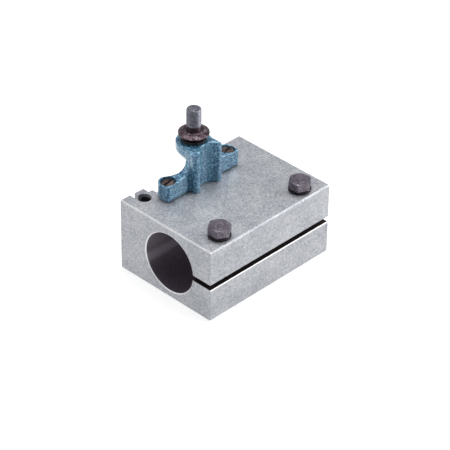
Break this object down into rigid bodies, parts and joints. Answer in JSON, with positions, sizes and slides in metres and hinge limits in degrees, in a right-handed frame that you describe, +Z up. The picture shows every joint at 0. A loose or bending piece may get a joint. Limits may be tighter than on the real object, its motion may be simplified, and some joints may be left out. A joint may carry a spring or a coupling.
{
  "type": "boring bar holder",
  "caption": "Split steel boring-bar holder with a through bore, two clamp bolts, a serrated concave post seat with hook grooves, and a bracket carrying a height-adjusting stud.",
  "frame": {"origin": "centre of the block's bottom face", "axes": "+Z up along the stud; +X along the bore; -Y is the slotted front, +Y is the side that meets the tool post"},
  "size_m": [0.1024, 0.077, 0.1004],
  "materials": {
    "ground_steel": "ground and lightly satin, pale grey",
    "blue_hammered_paint": "glossy blue hammered enamel over a casting",
    "blackened_steel": "black oxide with a brown-violet cast",
    "plain_steel": "plain dark grey steel, slightly worn"
  },
  "bodies": {
    "holder": {"holder_block": "ground_steel", "height_bracket": "blue_hammered_paint", "bracket_screw_left": "plain_steel", "bracket_screw_right": "plain_steel", "stud_washer": "blackened_steel"},
    "left_washer": {"clamp_washer_left": "blackened_steel"},
    "left_bolt": {"clamp_bolt_left": "blackened_steel"},
    "right_washer": {"clamp_washer_right": "blackened_steel"},
    "right_bolt": {"clamp_bolt_right": "blackened_steel"},
    "stud": {"height_stud": "plain_steel"},
    "nut": {"lock_nut": "blackened_steel"}
  },
  "joints": [
    {"name": "clamp_bolt_left_lift", "type": "slide", "parent": "holder", "child": "left_washer", "axis": [0, 0, 1], "range_m": [0, 0.0075]},
    {"name": "clamp_bolt_left_turn", "type": "hinge", "parent": "left_washer", "child": "left_bolt", "pos_m": [-0.0346, -0.029, 0.0522], "axis": [0, 0, 1], "range_deg": [0, 2160]},
    {"name": "clamp_bolt_right_lift", "type": "slide", "parent": "holder", "child": "right_washer", "axis": [0, 0, 1], "range_m": [0, 0.0075]},
    {"name": "clamp_bolt_right_turn", "type": "hinge", "parent": "right_washer", "child": "right_bolt", "pos_m": [0.0346, -0.029, 0.0522], "axis": [0, 0, 1], "range_deg": [0, 2160]},
    {"name": "height_travel", "type": "slide", "parent": "holder", "child": "stud", "axis": [0, 0, 1], "range_m": [-0.0025, 0.0125]},
    {"name": "lock_nut_turn", "type": "hinge", "parent": "stud", "child": "nut", "pos_m": [-0.003, 0.0246, 0.0833], "axis": [0, 0, 1], "range_deg": [-720, 3600]}
  ],
  "couplings": [
    {"joint": "clamp_bolt_left_turn", "follows": "clamp_bolt_left_lift", "rad_per_m": 5026.5},
    {"joint": "clamp_bolt_right_turn", "follows": "clamp_bolt_right_lift", "rad_per_m": 5026.5},
    {"joint": "lock_nut_turn", "follows": "height_travel", "rad_per_m": 5026.5}
  ]
}
